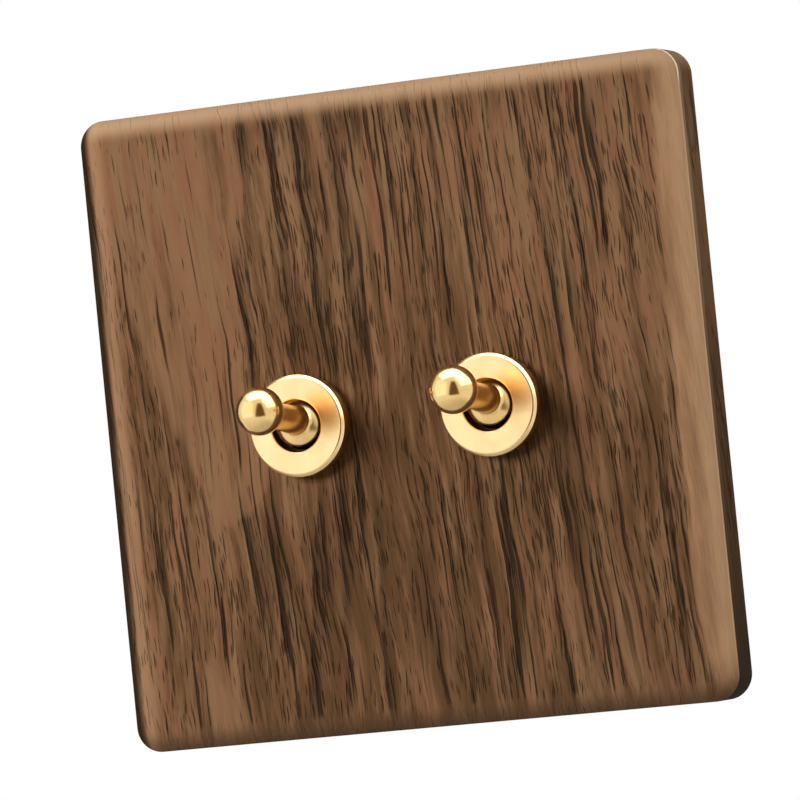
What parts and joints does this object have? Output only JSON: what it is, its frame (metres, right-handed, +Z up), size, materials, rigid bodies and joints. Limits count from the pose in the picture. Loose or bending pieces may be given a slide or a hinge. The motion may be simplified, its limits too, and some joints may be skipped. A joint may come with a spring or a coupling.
{
  "type": "toggle light switch",
  "caption": "Square walnut wall plate with polished brass ball-ended toggle levers in flat brass collars, on a steel strap with screw-terminal rocker switches behind.",
  "frame": {"origin": "middle between the two wall box screws, in the plane of the wall", "axes": "+Z up, +Y into the wall, so the panel faces -Y; +X to the right seen from the front"},
  "size_m": [0.086, 0.0466, 0.086],
  "materials": {
    "walnut": "oiled walnut, satin",
    "polished_brass": "polished brass",
    "plain_brass": "bright turned brass",
    "zinc_steel": "zinc-plated steel",
    "steel": "bright steel",
    "fibre": "red-brown insulating fibre",
    "black_moulding": "black moulded plastic",
    "nylon": "natural nylon",
    "bronze": "phosphor bronze",
    "silver": "bright silver alloy"
  },
  "bodies": {
    "base": {"wood_panel": "walnut", "mounting_strap": "zinc_steel", "terminal_screws": "plain_brass", "wire_clamps": "zinc_steel", "collar_left": "polished_brass", "collar_right": "polished_brass", "bushing_left": "plain_brass", "bushing_right": "plain_brass", "bushing_nut_left": "plain_brass", "bushing_nut_right": "plain_brass", "pivot_pin_left": "steel", "pivot_pin_right": "steel", "frame_plate_left": "zinc_steel", "frame_plate_right": "zinc_steel", "insulating_card_left": "fibre", "insulating_card_right": "fibre", "switch_case_left": "black_moulding", "switch_case_right": "black_moulding", "common_terminal_left": "plain_brass", "common_terminal_right": "plain_brass", "upper_terminal_left": "plain_brass", "upper_terminal_right": "plain_brass", "lower_terminal_left": "plain_brass", "lower_terminal_right": "plain_brass", "fixed_contacts_left": "silver", "fixed_contacts_right": "silver"},
    "lever_left": {"lever_left": "polished_brass", "plunger_spring_left": "steel"},
    "plunger_left": {"plunger_left": "nylon"},
    "rocker_left": {"rocker_left": "bronze", "rocker_contacts_left": "silver"},
    "lever_right": {"lever_right": "polished_brass", "plunger_spring_right": "steel"},
    "plunger_right": {"plunger_right": "nylon"},
    "rocker_right": {"rocker_right": "bronze", "rocker_contacts_right": "silver"}
  },
  "joints": [
    {"name": "lever_left_tilt", "type": "hinge", "parent": "base", "child": "lever_left", "pos_m": [-0.01365, -0.0038, -0.00125], "axis": [1, 0, 0], "range_deg": [0, 12]},
    {"name": "plunger_left_slide", "type": "slide", "parent": "lever_left", "child": "plunger_left", "axis": [0, -0.9945, 0.1045], "range_m": [0, 0.0006], "stiffness_N_per_m": 600, "deforming": ["plunger_spring_left"]},
    {"name": "rocker_left_tilt", "type": "hinge", "parent": "base", "child": "rocker_left", "pos_m": [-0.01365, 0.00911, -0.00125], "axis": [1, 0, 0], "range_deg": [-15, 0]},
    {"name": "lever_right_tilt", "type": "hinge", "parent": "base", "child": "lever_right", "pos_m": [0.01365, -0.0038, -0.00125], "axis": [1, 0, 0], "range_deg": [0, 12]},
    {"name": "plunger_right_slide", "type": "slide", "parent": "lever_right", "child": "plunger_right", "axis": [0, -0.9945, 0.1045], "range_m": [0, 0.0006], "stiffness_N_per_m": 600, "deforming": ["plunger_spring_right"]},
    {"name": "rocker_right_tilt", "type": "hinge", "parent": "base", "child": "rocker_right", "pos_m": [0.01365, 0.00911, -0.00125], "axis": [1, 0, 0], "range_deg": [-15, 0]}
  ],
  "couplings": [
    {"joint": "rocker_left_tilt", "follows": "lever_left_tilt", "ratio": -1.25},
    {"joint": "rocker_right_tilt", "follows": "lever_right_tilt", "ratio": -1.25}
  ]
}
